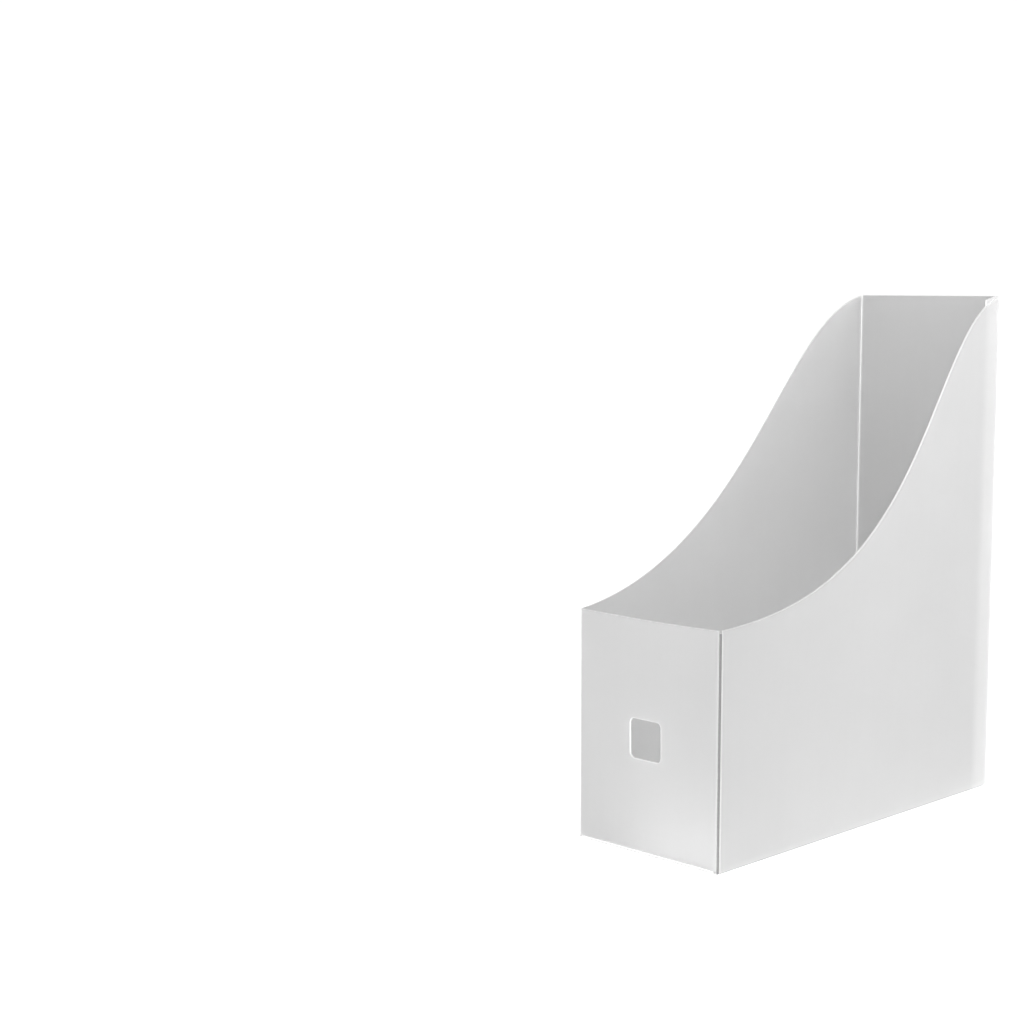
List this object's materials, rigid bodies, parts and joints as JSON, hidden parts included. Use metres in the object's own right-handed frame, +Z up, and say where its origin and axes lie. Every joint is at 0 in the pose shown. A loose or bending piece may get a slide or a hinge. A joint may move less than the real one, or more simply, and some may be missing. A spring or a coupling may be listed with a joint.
{
  "type": "magazine file holder",
  "caption": "Open-topped upright holder for magazines and files, creased and folded from a thin frosted plastic sheet, with a low front, swept sides and a finger hole; folds flat.",
  "frame": {"origin": "on the table, under the middle of the holder's outline (bottom centre of its box)", "axes": "+X to the right across the spine, seen from the low front; +Y from the low front to the tall back; +Z up"},
  "size_m": [0.1, 0.26, 0.3],
  "materials": {
    "frosted_panel": "frosted translucent polypropylene sheet, matt inside, satin outside",
    "frosted_flap": "frosted translucent polypropylene sheet",
    "crease_web": "pressed living hinge, thinner and slightly shinier than the sheet"
  },
  "bodies": {
    "right_side": {"right_side_panel": "frosted_panel", "seam_flap": "frosted_flap", "front_right_crease": "crease_web", "seam_crease": "crease_web", "base_crease": "crease_web"},
    "front": {"front_panel": "frosted_panel", "front_left_crease": "crease_web", "front_dust_crease": "crease_web"},
    "left_side": {"left_side_panel": "frosted_panel", "back_left_crease": "crease_web"},
    "back": {"back_panel": "frosted_panel", "rear_dust_crease": "crease_web"},
    "base": {"base_flap": "frosted_flap", "tuck_crease": "crease_web"},
    "tuck": {"tuck_tab": "frosted_flap"},
    "front_dust": {"front_dust_flap": "frosted_flap"},
    "rear_dust": {"rear_dust_flap": "frosted_flap"}
  },
  "joints": [
    {"name": "fold_flat", "type": "hinge", "parent": "right_side", "child": "front", "pos_m": [0.0492, -0.1292, 0.065], "axis": [0, 0, -1], "range_deg": [0, 88], "deforming": ["front_right_crease", "seam_crease"]},
    {"name": "front_left_fold", "type": "hinge", "parent": "front", "child": "left_side", "pos_m": [-0.0492, -0.1292, 0.065], "axis": [0, 0, 1], "range_deg": [0, 88], "deforming": ["front_left_crease"]},
    {"name": "back_left_fold", "type": "hinge", "parent": "left_side", "child": "back", "pos_m": [-0.0492, 0.1292, 0.15], "axis": [0, 0, -1], "range_deg": [0, 88], "deforming": ["back_left_crease"]},
    {"name": "base_fold", "type": "hinge", "parent": "right_side", "child": "base", "pos_m": [0.0492, 0, 0.0008], "axis": [0, -1, 0], "range_deg": [0, 88], "deforming": ["base_crease"]},
    {"name": "tuck_fold", "type": "hinge", "parent": "base", "child": "tuck", "pos_m": [-0.0481, 0, 0.0008], "axis": [0, 1, 0], "range_deg": [0, 88], "deforming": ["tuck_crease"]},
    {"name": "front_dust_fold", "type": "hinge", "parent": "front", "child": "front_dust", "pos_m": [0, -0.1292, 0.0017], "axis": [-1, 0, 0], "range_deg": [0, 88], "deforming": ["front_dust_crease"]},
    {"name": "rear_dust_fold", "type": "hinge", "parent": "back", "child": "rear_dust", "pos_m": [0, 0.1292, 0.0017], "axis": [1, 0, 0], "range_deg": [0, 88], "deforming": ["rear_dust_crease"]}
  ],
  "couplings": [
    {"joint": "front_left_fold", "follows": "fold_flat", "ratio": 1},
    {"joint": "back_left_fold", "follows": "fold_flat", "ratio": 1},
    {"joint": "base_fold", "follows": "fold_flat", "ratio": 1},
    {"joint": "tuck_fold", "follows": "fold_flat", "ratio": 1},
    {"joint": "front_dust_fold", "follows": "fold_flat", "ratio": 1},
    {"joint": "rear_dust_fold", "follows": "fold_flat", "ratio": 1}
  ]
}
